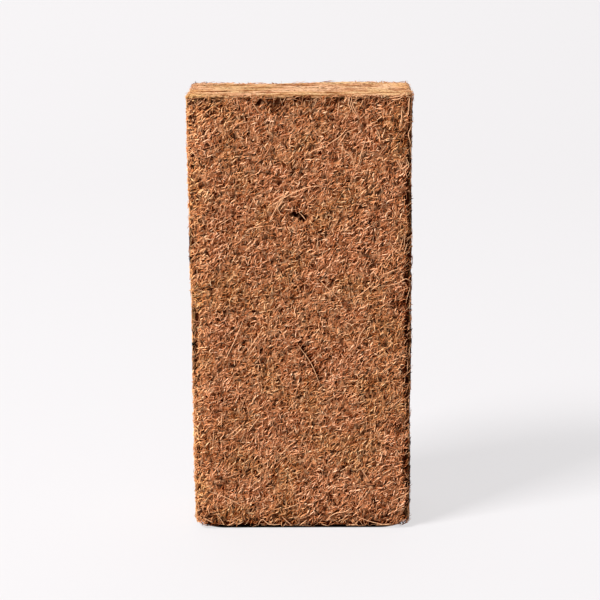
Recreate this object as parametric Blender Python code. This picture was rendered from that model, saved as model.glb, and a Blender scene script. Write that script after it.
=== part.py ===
# A brick-sized bale of compressed coconut coir, standing on one of its small ends.
# Husk pith and short bristle are squeezed between two punches in a steel die, so the bale is one piece.
# Its two wide faces (-Y and +Y) took the print of the punches and are lumpy. Its narrow sides and its ends
# slid along the die, so they are flatter and show the edges of the pressed layers as low ledges.
# Crumbs are missing where punch met die.
# Metres, +Z up, the wide face that shows in front towards -Y, and the middle of the foot at the origin.

import math
import random

import bmesh
import bpy
from mathutils import Vector, noise

# Driving dimensions: the overall size of the bale and the rounding of its edges. The upright corners are worn
# rounder towards the foot
WIDTH = 0.100
DEPTH = 0.050
HEIGHT = 0.200
CORNER_RADIUS = 0.0035
TOP_EDGE_RADIUS = 0.0014
FOOT_EDGE_RADIUS = 0.0034
FOOT_CORNER_RADIUS = 0.0078
FOOT_WEAR_HEIGHT = 0.011

# The net of quads that covers the bale: its spacing, how far its points are shifted out of line, and the
# ring of lines halfway round each edge
NET_STEP = 0.0045
NET_SHIFT = 0.0009
HALFWAY_ROUND = 1 - math.tan(math.radians(22.5))

# The pressed layers lie parallel to the wide faces. Between two layers the net has a pair of close lines
LAYER_COUNT = 8
LAYER_THICKNESS = (DEPTH - 2 * CORNER_RADIUS) / LAYER_COUNT
LEDGE_WIDTH = 0.0008

# Relief, all of it cut inwards from the size above: how deep, and over what distance it changes.
# LEDGE_SHARPNESS is how suddenly a layer's edge changes from whole to flaked off
SWELL_DEPTH = 0.0006
SWELL_LENGTH = 0.038
PUNCH_LUMP_DEPTH = 0.0015
DIE_LUMP_DEPTH = 0.0003
LUMP_LENGTH = 0.0090
LUMP_SEED = 7
LEDGE_DEPTH = 0.0007
LEDGE_LENGTH = 0.030
LEDGE_SHARPNESS = 3.0
RIM_CRUMB_DEPTH = 0.0016
RIM_WIDTH = 0.0026
CRUMB_LENGTH = 0.0085
FOOT_BLEND = 0.004

# Places on the front face where a crumb is gone: x, z, half width, half height and depth
PIT = (0.0005, 0.1460, 0.0042, 0.0026, 0.0022)
FRONT_BITES = (
    PIT,
    (0.0480, 0.1552, 0.0022, 0.0060, 0.0018),
    (0.0482, 0.1080, 0.0022, 0.0040, 0.0015),
    (0.0482, 0.0739, 0.0024, 0.0048, 0.0020),
    (0.0426, 0.1058, 0.0036, 0.0030, 0.0012),
    (-0.0478, 0.0840, 0.0022, 0.0080, 0.0018),
    (-0.0480, 0.1480, 0.0020, 0.0060, 0.0012),
)
PIT_NET_REACH = 0.007

HUSK_BROWN = (0.36, 0.155, 0.070, 1.0)
HUSK_ROUGHNESS = 0.9


def clear_scene():
    for obj in list(bpy.data.objects):
        bpy.data.objects.remove(obj)


def even_lines(length, near_radius, far_radius):
    """Places of the net's lines on the flat of one side: even steps between its two rounded ends."""
    flat = length - near_radius - far_radius
    steps = round(flat / NET_STEP)
    return [near_radius + flat * i / steps for i in range(steps + 1)]


def layer_lines():
    """Places of the net's lines through the thickness, with a pair for a ledge wherever two layers meet."""
    lines = [CORNER_RADIUS]
    for layer in range(1, LAYER_COUNT):
        middle = CORNER_RADIUS + layer * LAYER_THICKNESS
        lines += [middle - LEDGE_WIDTH / 2, middle + LEDGE_WIDTH / 2]
    return lines + [DEPTH - CORNER_RADIUS]


def with_ends(flat_lines, length, near_radius, far_radius):
    """The lines on the flat with two more over each rounded end, all the way from 0 to length."""
    near = [0.0, near_radius * HALFWAY_ROUND]
    far = [length - far_radius * HALFWAY_ROUND, length]
    return near + flat_lines + far


def box_net(lines):
    """A closed net of quads over the six sides of a box, from the places of its lines along X, Y and Z."""
    bm = bmesh.new()
    last = [len(along) - 1 for along in lines]
    corners = {}
    for i, x in enumerate(lines[0]):
        for j, y in enumerate(lines[1]):
            for k, z in enumerate(lines[2]):
                if i in (0, last[0]) or j in (0, last[1]) or k in (0, last[2]):
                    corners[i, j, k] = bm.verts.new((x, y, z))
    for axis in range(3):
        across = (axis + 1) % 3
        up = (axis + 2) % 3
        for end in (0, last[axis]):
            for a in range(last[across]):
                for b in range(last[up]):
                    quad = []
                    for step_a, step_b in ((0, 0), (1, 0), (1, 1), (0, 1)):
                        place = [end, end, end]
                        place[across] = a + step_a
                        place[up] = b + step_b
                        quad.append(corners[tuple(place)])
                    bm.faces.new(quad if end else reversed(quad))
    return bm


def rounded(point):
    """The point of the rounded block that a point of the sharp box goes to, and its outward direction."""
    edge = TOP_EDGE_RADIUS if point.z > HEIGHT / 2 else FOOT_EDGE_RADIUS
    worn = max(0.0, 1 - point.z / FOOT_WEAR_HEIGHT) ** 2
    corner = CORNER_RADIUS + (FOOT_CORNER_RADIUS - CORNER_RADIUS) * worn
    radii = Vector((corner, corner, edge))
    core = Vector((
        max(-WIDTH / 2 + corner, min(WIDTH / 2 - corner, point.x)),
        max(-DEPTH / 2 + corner, min(DEPTH / 2 - corner, point.y)),
        max(FOOT_EDGE_RADIUS, min(HEIGHT - TOP_EDGE_RADIUS, point.z)),
    ))
    out = Vector([(point[axis] - core[axis]) / radii[axis] for axis in range(3)]).normalized()
    return core + Vector([out[axis] * radii[axis] for axis in range(3)]), out


def swell(point):
    """Broad unevenness of every face, where the loose coir filled the die unevenly."""
    return SWELL_DEPTH * (0.5 + 0.5 * noise.noise(point / SWELL_LENGTH))


def lumps(point, punched, chance):
    """Pressed clods of pith, deep on the punched faces and nearly smooth on those that slid along the die."""
    depth = DIE_LUMP_DEPTH + (PUNCH_LUMP_DEPTH - DIE_LUMP_DEPTH) * punched
    clod = 0.5 + 0.5 * noise.noise(point / LUMP_LENGTH)
    return depth * (clod + chance) / 2


def layer_ledge(point, punched):
    """On the narrow sides and the top, each layer's edge stands in or out a little, or has flaked off."""
    layer = math.floor((point.y + DEPTH / 2 - CORNER_RADIUS) / LAYER_THICKNESS)
    along = (point.x + point.z) / LEDGE_LENGTH
    flaked = LEDGE_SHARPNESS * noise.noise(Vector((along, 7.3 * layer, 0.5)))
    return LEDGE_DEPTH * (1 - punched) * (0.5 + 0.5 * max(-1.0, min(1.0, flaked)))


def rim_crumbs(point, punched):
    """Crumbs lost along the rim of the punched faces, just inside the rounded corners."""
    from_side = WIDTH / 2 - CORNER_RADIUS - abs(point.x)
    from_top = HEIGHT - CORNER_RADIUS - point.z
    from_foot = point.z - CORNER_RADIUS
    nearest = min(abs(from_side), abs(from_top), abs(from_foot))
    rim = math.exp(-((nearest / RIM_WIDTH) ** 2))
    crumb = max(0.0, noise.noise(point / CRUMB_LENGTH + Vector((4.2, 1.7, 9.1))))
    return 2 * RIM_CRUMB_DEPTH * punched * rim * crumb


def bites(point, punched):
    """The single crumbs and the pit that show on the front face."""
    if point.y > 0:
        return 0.0
    deepest = 0.0
    for x, z, half_width, half_height, depth in FRONT_BITES:
        away = math.hypot((point.x - x) / half_width, (point.z - z) / half_height)
        deepest = max(deepest, depth * math.exp(-(away**2)))
    return deepest * punched


def relief(point, out, chance):
    """How far the surface lies inside the block's full size. The foot stays flat, so that the bale stands."""
    punched = out.y**2
    deep = swell(point) + lumps(point, punched, chance) + layer_ledge(point, punched)
    deep += rim_crumbs(point, punched) + bites(point, punched)
    return deep * min(1.0, point.z / FOOT_BLEND)


def true_to_size(bm):
    """Brings the block back to its overall size, centred over the foot."""
    low = Vector([min(v.co[axis] for v in bm.verts) for axis in range(3)])
    high = Vector([max(v.co[axis] for v in bm.verts) for axis in range(3)])
    size = Vector((WIDTH, DEPTH, HEIGHT))
    for v in bm.verts:
        share = [(v.co[axis] - low[axis]) / (high[axis] - low[axis]) for axis in range(3)]
        v.co = Vector(((share[0] - 0.5) * size.x, (share[1] - 0.5) * size.y, share[2] * size.z))


def refine_round_pit(bm):
    """Halves the net's spacing round the pit, which is smaller than one of its quads."""
    x, z = PIT[0], PIT[1]
    near = [
        edge for edge in bm.edges
        if all(v.co.y < 0 and math.hypot(v.co.x - x, v.co.z - z) < PIT_NET_REACH for v in edge.verts)
    ]
    bmesh.ops.subdivide_edges(bm, edges=near, cuts=1, use_grid_fill=True)


def unsettle(bm, rng):
    """Shifts the net's points along X and Z on the flat of each face, so that the lumps stand in no rows."""
    for v in bm.verts:
        shift_x = NET_SHIFT * rng.uniform(-1, 1)
        shift_z = NET_SHIFT * rng.uniform(-1, 1)
        if abs(v.co.x) < WIDTH / 2 - CORNER_RADIUS - NET_SHIFT:
            v.co.x += shift_x
        if CORNER_RADIUS + NET_SHIFT < v.co.z < HEIGHT - CORNER_RADIUS - NET_SHIFT:
            v.co.z += shift_z


def husk_material():
    material = bpy.data.materials.new("pressed_coir")
    material.use_nodes = True
    shader = material.node_tree.nodes["Principled BSDF"]
    shader.inputs["Base Color"].default_value = HUSK_BROWN
    shader.inputs["Roughness"].default_value = HUSK_ROUGHNESS
    shader.inputs["Metallic"].default_value = 0.0
    return material


def coir_bale():
    """The whole bale: a rounded block, its relief cut in, with its flat foot at Z = 0."""
    flat_x = even_lines(WIDTH, CORNER_RADIUS, CORNER_RADIUS)
    flat_z = even_lines(HEIGHT, FOOT_EDGE_RADIUS, TOP_EDGE_RADIUS)
    across = [x - WIDTH / 2 for x in with_ends(flat_x, WIDTH, CORNER_RADIUS, CORNER_RADIUS)]
    through = [y - DEPTH / 2 for y in with_ends(layer_lines(), DEPTH, CORNER_RADIUS, CORNER_RADIUS)]
    up = with_ends(flat_z, HEIGHT, FOOT_EDGE_RADIUS, TOP_EDGE_RADIUS)
    bm = box_net((across, through, up))
    refine_round_pit(bm)
    rng = random.Random(LUMP_SEED)
    unsettle(bm, rng)
    for v in bm.verts:
        on_block, out = rounded(v.co)
        v.co = on_block - out * relief(on_block, out, rng.random())
    true_to_size(bm)
    mesh = bpy.data.meshes.new("coir_bale")
    bm.to_mesh(mesh)
    bm.free()
    mesh.materials.append(husk_material())
    bale = bpy.data.objects.new("coir_bale", mesh)
    bpy.context.scene.collection.objects.link(bale)


clear_scene()
coir_bale()
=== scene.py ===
import math

import bmesh
import bpy
import numpy as np
from mathutils import Matrix, Vector, noise
from mathutils.bvhtree import BVHTree


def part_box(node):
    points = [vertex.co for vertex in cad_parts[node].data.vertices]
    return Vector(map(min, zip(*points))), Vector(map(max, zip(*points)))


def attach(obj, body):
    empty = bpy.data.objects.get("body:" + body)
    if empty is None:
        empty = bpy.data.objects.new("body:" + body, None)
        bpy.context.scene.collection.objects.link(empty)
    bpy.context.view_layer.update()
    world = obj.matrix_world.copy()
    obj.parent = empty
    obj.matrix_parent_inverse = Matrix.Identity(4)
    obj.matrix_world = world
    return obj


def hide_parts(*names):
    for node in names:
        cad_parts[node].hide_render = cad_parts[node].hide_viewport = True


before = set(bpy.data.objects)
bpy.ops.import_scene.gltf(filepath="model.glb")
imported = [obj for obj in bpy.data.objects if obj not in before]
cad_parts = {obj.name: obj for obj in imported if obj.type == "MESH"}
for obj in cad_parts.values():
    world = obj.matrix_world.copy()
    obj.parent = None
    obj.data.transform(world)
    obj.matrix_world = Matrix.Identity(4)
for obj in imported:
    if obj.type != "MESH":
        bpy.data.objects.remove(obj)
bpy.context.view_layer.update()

# The pressed block
# Coconut husk pith and short bristle, squeezed dry in a steel die until it holds by itself. It is the ground
# that every chip and bristle below lies in: open and pitted on the two wide faces, which the punches pressed,
# and closed and streaked on the others, which slid along the die.

low_corner, high_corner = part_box("coir_bale")
HALF_WIDTH = (high_corner.x - low_corner.x) / 2
HALF_DEPTH = (high_corner.y - low_corner.y) / 2
HEIGHT = high_corner.z - low_corner.z

# The relief that the solid's net is too coarse for: its depths, and the lengths over which it changes
BLOCK_GRAIN = 0.0010
EDGE_BLEND = 0.0016
WIDE_FACE_WRAP = 0.0016
PUNCHED_RECESS = 0.00015
PUNCHED_CLOD_DEPTH = 0.0007
PUNCHED_CLOD_LENGTH = 0.0040
HOLLOW_DEPTH = 0.0010
HOLLOW_LENGTH = 0.0024
HOLLOW_SHARE = 0.10
DIE_RECESS = 0.00035
DIE_STREAK_DEPTH = 0.00045
DIE_STREAK_LENGTH = 0.014
DIE_STREAK_WIDTH = 0.0016
RIM_GROOVE_DEPTH = 0.0016
RIM_GROOVE_INSET = 0.0016
RIM_GROOVE_WIDTH = 0.0010
RIM_GAP_LENGTH = 0.0026
RIM_GAP_WANDER = 0.0020
RIM_GAP_WANDER_LENGTH = 0.0042
FOOT_FLAT = 0.0012

# Where dark, crumbly pith is laid bare, and where the same darkening is painted shade: down the right rim and
# round its corner, and at the very foot. It also darkens a little towards the foot. Where the husk is finer
# and golden, with painted light down the left rim
RAW_DEPTH = 0.0010
# The painted shade down the right rim: its width, its spots and how far it wraps round the corner
RIGHT_RIM_PAINTED_SHADE = 0.0036
RIGHT_RIM_PAINTED_SHADE_SPOTS = 1.2
RAW_ROW = 0.0052
RAW_ROW_FULLER = 0.22
RAW_ROW_FULLER_FROM = (-0.028, -0.012)
RAW_WANDER = 0.0016
RAW_WANDER_LENGTH = 0.007
RIGHT_RIM_PAINTED_SHADE_WRAP = 0.0060
RAW_STROKE_WRAP = 0.0044
RAW_STROKE_RAGGED = 90
RAW_SPOT_LENGTH = 0.0026
FOOT_DULL = 0.26
FOOT_DULL_HEIGHT = 0.012
# The painted shadow at the very foot: its height and how dark it gets
FOOT_PAINTED_SHADOW = 0.0034
FOOT_PAINTED_SHADOW_DARKEST = 2.6
GOLD_WIDTH = 0.0130
GOLD_FOOT = 0.0140
GOLD_WANDER_LENGTH = 0.016

# The hole on the front where a crumb fell out: the middles of its two lobes, half width, half height, depth
PIT_LOBES = (
    (-0.0012, 0.1466, 0.0026, 0.0010, 0.0026),
    (0.0016, 0.1450, 0.0018, 0.0012, 0.0028),
)

# Other dark places on the front, as strokes from x, z to x, z, with half width and darkness: a notch at the
# top left, two places under the top edge, four notches down the left rim, four gaps at the right, and a groove
# beside the bowed fibre, painted dark as the fibre's shadow
DARK_STROKES = (
    (-0.0475, 0.1978, -0.0440, 0.1970, 0.0026, 0.55),
    (-0.0135, 0.1960, -0.0095, 0.1952, 0.0030, 0.50),
    (0.0135, 0.1972, 0.0165, 0.1972, 0.0020, 0.55),
    (-0.0488, 0.1385, -0.0488, 0.1335, 0.0017, 2.20),
    (-0.0493, 0.1285, -0.0493, 0.1262, 0.0015, 2.00),
    (-0.0481, 0.1022, -0.0481, 0.0932, 0.0017, 2.20),
    (-0.0488, 0.0875, -0.0490, 0.0775, 0.0019, 2.30),
    (0.0479, 0.1560, 0.0479, 0.1515, 0.0017, 2.30),
    (0.0482, 0.1100, 0.0482, 0.1060, 0.0020, 1.00),
    (0.0482, 0.0765, 0.0482, 0.0715, 0.0022, 1.10),
    (0.0415, 0.1058, 0.0437, 0.1058, 0.0018, 0.60),
    # Painted shadow of the bowed fibre
    (-0.0003, 0.0880, 0.0083, 0.0715, 0.0009, 1.60),
)

# The pith's colours, and the sizes of its markings
PITH_SHADOW = "#360800"
PITH_RED = "#BE784E"
PITH_TAN = "#CA885C"
PITH_OLIVE = "#BE8454"
PITH_RAW_AND_SHADE = "#461C0A"
CHIP_PALE = "#FCCA9C"
CRUST_TAN = "#C89A6C"
CRUST_ORANGE = "#A0703F"
PATCH_SIZE = 0.024
PITH_GRAIN = 0.00045
PITH_WARP = 0.005
PITH_WARP_LENGTH = 0.004
CRUST_LAYERS_PER_METRE = (90, 1500, 90)
CREVICE_SPACING = 0.0024
CREVICE_SHARE = 0.12
CREVICED_LENGTH = 0.0026
PIT_SPACING = 0.0013
RIDGE_LENGTH = 0.0040
RIDGE_WIDTH = 0.0011
RIDGE_LEAN = math.radians(40)
PITH_ROUGHNESS = 0.92


def linear(hex_colour):
    """An sRGB hex colour as the linear RGBA that the shader takes."""
    shades = [int(hex_colour[i:i + 2], 16) / 255 for i in (1, 3, 5)]
    return [s / 12.92 if s <= 0.04045 else ((s + 0.055) / 1.055) ** 2.4 for s in shades] + [1.0]


def add_node(tree, kind, settings=None, links=None):
    """Adds one node. A link's key is the name or place of one of its shown inputs. Its value is a number, a
    colour, a socket, or a node, which stands for its first shown output."""
    made = tree.nodes.new(kind)
    for name, value in (settings or {}).items():
        setattr(made, name, value)
    shown = [socket for socket in made.inputs if socket.enabled]
    for key, value in (links or {}).items():
        socket = shown[key] if isinstance(key, int) else next(s for s in shown if s.name == key)
        if isinstance(value, bpy.types.Node):
            value = next(s for s in value.outputs if s.enabled)
        if isinstance(value, bpy.types.NodeSocket):
            tree.links.new(value, socket)
        else:
            socket.default_value = value
    return made


def new_material(name):
    """An empty material with a Principled shader on its output."""
    material = bpy.data.materials.new(name)
    material.use_nodes = True
    return material, material.node_tree, material.node_tree.nodes["Principled BSDF"]


def set_colours(ramp_node, stops):
    """Gives a colour ramp its stops, each a place from 0 to 1 and a hex colour."""
    elements = ramp_node.color_ramp.elements
    for _ in stops[2:]:
        elements.new(1.0)
    for element, (place, colour) in zip(elements, stops):
        element.position = place
        element.color = linear(colour)


def smooth_step(low, high, value):
    share = np.clip((value - low) / (high - low), 0, 1)
    return share * share * (3 - 2 * share)


def noise_at(points, length, offset=(0, 0, 0), octaves=1):
    """Blender's noise at each point, about -1 to 1, changing over one length or over one for each axis."""
    scaled = points / np.array(length) + np.array(offset)
    if octaves == 1:
        return np.array([noise.noise(p) for p in scaled])
    return np.array([noise.fractal(p, 0.7, 2.1, octaves) for p in scaled])


def punched_share(points):
    """1 on the two wide faces that the punches pressed, 0 on the four that slid along the die."""
    from_wide = HALF_DEPTH - np.abs(points[:, 1])
    from_narrow = HALF_WIDTH - np.abs(points[:, 0]) + WIDE_FACE_WRAP
    from_end = np.minimum(points[:, 2] + WIDE_FACE_WRAP, HEIGHT - points[:, 2])
    return smooth_step(-EDGE_BLEND, EDGE_BLEND, np.minimum(from_narrow, from_end) - from_wide)


def pit_depth(points):
    """How deep the hole in the front is at each point."""
    deepest = np.zeros(len(points))
    for x, z, half_width, half_height, depth in PIT_LOBES:
        away = ((points[:, 0] - x) / half_width) ** 2 + ((points[:, 2] - z) / half_height) ** 2
        deepest = np.maximum(deepest, depth * np.exp(-away ** 2))
    return np.where(points[:, 1] < 0, deepest, 0)


def rim_gaps(points):
    """0 to 1: the broken row of gaps along the rims of the wide faces, where punch met die."""
    from_narrow = HALF_WIDTH - np.abs(points[:, 0])
    from_end = np.minimum(points[:, 2], HEIGHT - points[:, 2])
    wander = RIM_GAP_WANDER * noise_at(points, RIM_GAP_WANDER_LENGTH, (8, 2, 6))
    from_rim = np.minimum(from_narrow, from_end) - RIM_GROOVE_INSET + wander
    row = np.exp(-(from_rim / RIM_GROOVE_WIDTH) ** 2)
    broken = smooth_step(-0.02, 0.30, noise_at(points, RIM_GAP_LENGTH, (3, 1, 7)))
    return row * broken * punched_share(points)


def away_from_stroke(points, x_from, z_from, x_to, z_to):
    """How far each point lies from the straight line between two places on the front."""
    run, rise = x_to - x_from, z_to - z_from
    share = ((points[:, 0] - x_from) * run + (points[:, 2] - z_from) * rise) / (run ** 2 + rise ** 2)
    share = np.clip(share, 0, 1)
    return np.hypot(points[:, 0] - x_from - share * run, points[:, 2] - z_from - share * rise)


def raw_and_shade_share(points):
    """How dark each point is made: dark, crumbly pith laid bare in a row under its top edge and in the notches
    and gaps listed above, and painted shade down the right of each wide face and round its corner, beside the
    bowed fibre and at the very foot, with a little darkening up the foot. 1 is full, and more is darker."""
    side = np.sign(points[:, 1])
    wander = RAW_WANDER * noise_at(points, RAW_WANDER_LENGTH, (6, 3, 2))
    # Painted shade: a strip down the right rim of each wide face, wrapping round its corner
    strip = smooth_step(RIGHT_RIM_PAINTED_SHADE, RIGHT_RIM_PAINTED_SHADE / 2, HALF_WIDTH + side * points[:, 0] + wander)
    fuller = RAW_ROW_FULLER * smooth_step(*RAW_ROW_FULLER_FROM, -side * points[:, 0])
    speckle = noise_at(points, RAW_SPOT_LENGTH, (1, 5, 8))
    broken = smooth_step(0.13, 0.24, speckle + fuller)
    row = broken * smooth_step(RAW_ROW, RAW_ROW / 2, HEIGHT - points[:, 2] + wander)
    raw_and_shade = row * punched_share(points)
    strip *= 0.8 + RIGHT_RIM_PAINTED_SHADE_SPOTS * smooth_step(-0.10, 0.25, speckle)
    raw_and_shade = np.maximum(raw_and_shade, strip * smooth_step(RIGHT_RIM_PAINTED_SHADE_WRAP, RIGHT_RIM_PAINTED_SHADE_WRAP / 2, HALF_DEPTH - np.abs(points[:, 1])))
    ragged = RAW_STROKE_RAGGED * wander
    on_front = smooth_step(RAW_STROKE_WRAP, RAW_STROKE_WRAP / 2, HALF_DEPTH + points[:, 1])
    spotted = 0.7 + 0.5 * smooth_step(-0.15, 0.25, speckle)
    for *ends, half_width, darkness in DARK_STROKES:
        away = away_from_stroke(points, *ends) / half_width
        raw_and_shade = np.maximum(raw_and_shade, darkness * spotted * smooth_step(1.4, 0.6, away + ragged) * on_front)
    dull_at = points[:, 2] + 2 * wander
    raw_and_shade = np.maximum(raw_and_shade, FOOT_DULL * smooth_step(FOOT_DULL_HEIGHT, FOOT_DULL_HEIGHT / 3, dull_at))
    # Painted shadow at the very foot
    return np.maximum(raw_and_shade, FOOT_PAINTED_SHADOW_DARKEST * smooth_step(FOOT_PAINTED_SHADOW, FOOT_PAINTED_SHADOW / 3, points[:, 2]))


def gold_and_light_share(points):
    """0 to 1: finer, golden husk, down the left of each wide face and along its foot, where the husk's
    material also paints light, most down the left rim.
    """
    from_left = HALF_WIDTH - np.sign(points[:, 1]) * points[:, 0]
    wander = 0.5 * GOLD_WIDTH * noise_at(points, GOLD_WANDER_LENGTH, (2, 2, 5))
    left = smooth_step(GOLD_WIDTH, 0.2 * GOLD_WIDTH, from_left + wander)
    foot = 0.25 * smooth_step(GOLD_FOOT, 0.2 * GOLD_FOOT, points[:, 2] + wander)
    return np.maximum(left, foot)


def at_points(mesh, what):
    """The place ("co") or the outward direction ("normal") of each point of a mesh."""
    flat = np.empty(len(mesh.vertices) * 3)
    mesh.vertices.foreach_get(what, flat)
    return flat.reshape(-1, 3)


def store(mesh, name, values):
    """Keeps one number for each point of a mesh, for its material or for the trees below."""
    kept = mesh.attributes.new(name, "FLOAT", "POINT")
    kept.data.foreach_set("value", np.asarray(values, dtype=np.float32))


def baked(obj):
    """The mesh that an object's modifiers make."""
    return bpy.data.meshes.new_from_object(obj.evaluated_get(bpy.context.evaluated_depsgraph_get()))


def new_piece(name, mesh):
    piece = bpy.data.objects.new(name, mesh)
    bpy.context.scene.collection.objects.link(piece)
    return piece


def merged_cad_mesh():
    """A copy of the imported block's mesh, its loose triangles merged into one skin and cut finer."""
    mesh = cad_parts["coir_bale"].data.copy()
    bm = bmesh.new()
    bm.from_mesh(mesh)
    bmesh.ops.remove_doubles(bm, verts=bm.verts, dist=1e-6)
    bmesh.ops.subdivide_edges(bm, edges=bm.edges, cuts=4, use_grid_fill=True)
    for face in bm.faces:
        face.smooth = True
    bm.to_mesh(mesh)
    bm.free()
    mesh.materials.clear()
    return mesh


def block_depth(points):
    """How far the block lies inside the skin of the bale at each point."""
    punched = punched_share(points)
    clods = 0.5 + 0.5 * noise_at(points, PUNCHED_CLOD_LENGTH, octaves=3)
    hollow_and_shade = smooth_step(0.5 - HOLLOW_SHARE, 0.75, 0.5 + 0.5 * noise_at(points, HOLLOW_LENGTH, (5, 2, 9)))
    wide = PUNCHED_RECESS + PUNCHED_CLOD_DEPTH * clods + HOLLOW_DEPTH * hollow_and_shade
    along = (DIE_STREAK_LENGTH, DIE_STREAK_WIDTH, DIE_STREAK_LENGTH)
    streaks = np.clip(0.45 + 0.8 * noise_at(points, along, (2, 8, 4)), 0, 1)
    narrow = DIE_RECESS + DIE_STREAK_DEPTH * streaks
    depth = punched * wide + (1 - punched) * narrow
    crumbled = RIM_GROOVE_DEPTH * rim_gaps(points) + RAW_DEPTH * np.minimum(1, raw_and_shade_share(points))
    depth += crumbled + pit_depth(points)
    return depth * smooth_step(0, FOOT_FLAT, points[:, 2])


def pressed_pith_material():
    """Coir pith, pressed dry: a dull, dusty, pinkish brown, ridged where fibres lie under it, with painted
    maroon shade in its crevices, pits and deeper hollows. It is pale and closed on the die faces, and dark
    brown where it is raw and where shade is painted on."""
    material, tree, shader = new_material("pressed_coir_pith")
    where = add_node(tree, "ShaderNodeTexCoord").outputs["Object"]
    punched, hollow_and_shade, raw_and_shade = [
        add_node(tree, "ShaderNodeAttribute", {"attribute_name": kept}).outputs["Fac"]
        for kept in ("punched", "hollow_and_shade", "raw_and_shade")
    ]
    patches, grain, warp, gappy = [
        add_node(tree, "ShaderNodeTexNoise", links={"Vector": where, "Scale": 1 / length, "Detail": detail})
        for length, detail in (
            (PATCH_SIZE, 3.0), (PITH_GRAIN, 4.0), (PITH_WARP_LENGTH, 1.0), (CREVICED_LENGTH, 2.0))
    ]
    layers_at = add_node(tree, "ShaderNodeMapping", links={"Vector": where, "Scale": CRUST_LAYERS_PER_METRE})
    layers = add_node(tree, "ShaderNodeTexNoise", links={"Vector": layers_at, "Scale": 1.0, "Detail": 3.0})
    shifted = add_node(tree, "ShaderNodeVectorMath", {"operation": "MULTIPLY_ADD"},
                       {0: warp.outputs["Color"], 1: (PITH_WARP,) * 3, 2: where})
    cells = add_node(tree, "ShaderNodeTexVoronoi", {"feature": "DISTANCE_TO_EDGE"},
                     {"Vector": shifted, "Scale": 1 / CREVICE_SPACING})
    near_edge = add_node(tree, "ShaderNodeMapRange",
                         links={"Value": cells, "From Min": CREVICE_SHARE, "From Max": CREVICE_SHARE / 3})
    open_here = add_node(tree, "ShaderNodeMapRange",
                         links={"Value": gappy, "From Min": 0.48, "From Max": 0.58})
    crevice = add_node(tree, "ShaderNodeMath", {"operation": "MULTIPLY"}, {0: near_edge, 1: open_here})
    pitted = add_node(tree, "ShaderNodeTexNoise",
                      links={"Vector": shifted, "Scale": 1 / PIT_SPACING, "Detail": 1.0})
    pit = add_node(tree, "ShaderNodeMapRange", links={"Value": pitted, "From Min": 0.62, "From Max": 0.66})
    gap = add_node(tree, "ShaderNodeMath", {"operation": "MAXIMUM"}, {0: crevice, 1: pit})
    # Painted shade in the crevices, pits and deeper hollows
    painted_shade = add_node(tree, "ShaderNodeMath", {"operation": "MAXIMUM"}, {0: gap, 1: hollow_and_shade})
    ridge_scale = (1 / RIDGE_WIDTH, 1 / RIDGE_WIDTH, 1 / RIDGE_LENGTH)
    ridges_at = add_node(tree, "ShaderNodeMapping",
                         links={"Vector": shifted, "Rotation": (0, RIDGE_LEAN, 0), "Scale": ridge_scale})
    ridges = add_node(tree, "ShaderNodeTexNoise", links={"Vector": ridges_at, "Scale": 1.0, "Detail": 2.0})
    chip = add_node(tree, "ShaderNodeMapRange", {"interpolation_type": "SMOOTHSTEP"},
                    {"Value": ridges, "From Min": 0.50, "From Max": 0.60})
    pith = add_node(tree, "ShaderNodeValToRGB", links={"Fac": patches})
    set_colours(pith, ((0.36, PITH_OLIVE), (0.48, PITH_TAN), (0.62, PITH_RED)))
    paler = add_node(tree, "ShaderNodeMath", {"operation": "MULTIPLY"}, {0: chip, 1: 0.5})
    chipped = add_node(tree, "ShaderNodeMix", {"data_type": "RGBA"},
                       {"Factor": paler, "A": pith, "B": linear(CHIP_PALE)})
    shaded = add_node(tree, "ShaderNodeMix", {"data_type": "RGBA"},
                      {"Factor": painted_shade, "A": chipped, "B": linear(PITH_SHADOW)})
    crust = add_node(tree, "ShaderNodeMix", {"data_type": "RGBA"},
                     {"Factor": layers, "A": linear(CRUST_ORANGE), "B": linear(CRUST_TAN)})
    closed = add_node(tree, "ShaderNodeMix", {"data_type": "RGBA"},
                      {"Factor": punched, "A": crust, "B": shaded})
    # Raw pith and painted shade alike turn dark brown
    bared_and_shaded = add_node(tree, "ShaderNodeMath", {"operation": "MULTIPLY", "use_clamp": True}, {0: raw_and_shade, 1: 0.85})
    colour = add_node(tree, "ShaderNodeMix", {"data_type": "RGBA"},
                      {"Factor": bared_and_shaded, "A": closed.outputs[2], "B": linear(PITH_RAW_AND_SHADE)})
    relief = add_node(tree, "ShaderNodeMath", {"operation": "SUBTRACT"}, {0: chip, 1: gap})
    lumpy = add_node(tree, "ShaderNodeBump", links={"Strength": 1.0, "Distance": 0.0005, "Height": relief})
    bump = add_node(tree, "ShaderNodeBump",
                    links={"Strength": 0.6, "Distance": 0.0003, "Height": grain, "Normal": lumpy})
    layer_bump = add_node(tree, "ShaderNodeBump",
                          links={"Strength": 0.5, "Distance": 0.0004, "Height": layers, "Normal": bump})
    tree.links.new(colour.outputs[2], shader.inputs["Base Color"])
    tree.links.new(layer_bump.outputs[0], shader.inputs["Normal"])
    shader.inputs["Roughness"].default_value = PITH_ROUGHNESS
    shader.inputs["Specular IOR Level"].default_value = 0.0
    return material


skin_mesh = merged_cad_mesh()

block = new_piece("pressed_coir_block", skin_mesh.copy())
remesh = block.modifiers.new("even_net", "REMESH")
remesh.mode = "VOXEL"
remesh.voxel_size = BLOCK_GRAIN
block_mesh = baked(block)
block.modifiers.clear()
block.data = block_mesh
block_points = at_points(block_mesh, "co")
block_depths = block_depth(block_points)
sunk = block_points - at_points(block_mesh, "normal") * block_depths[:, None]
block_mesh.vertices.foreach_set("co", sunk.ravel())
store(block_mesh, "punched", punched_share(block_points))
store(block_mesh, "raw_and_shade", raw_and_shade_share(block_points))
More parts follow.
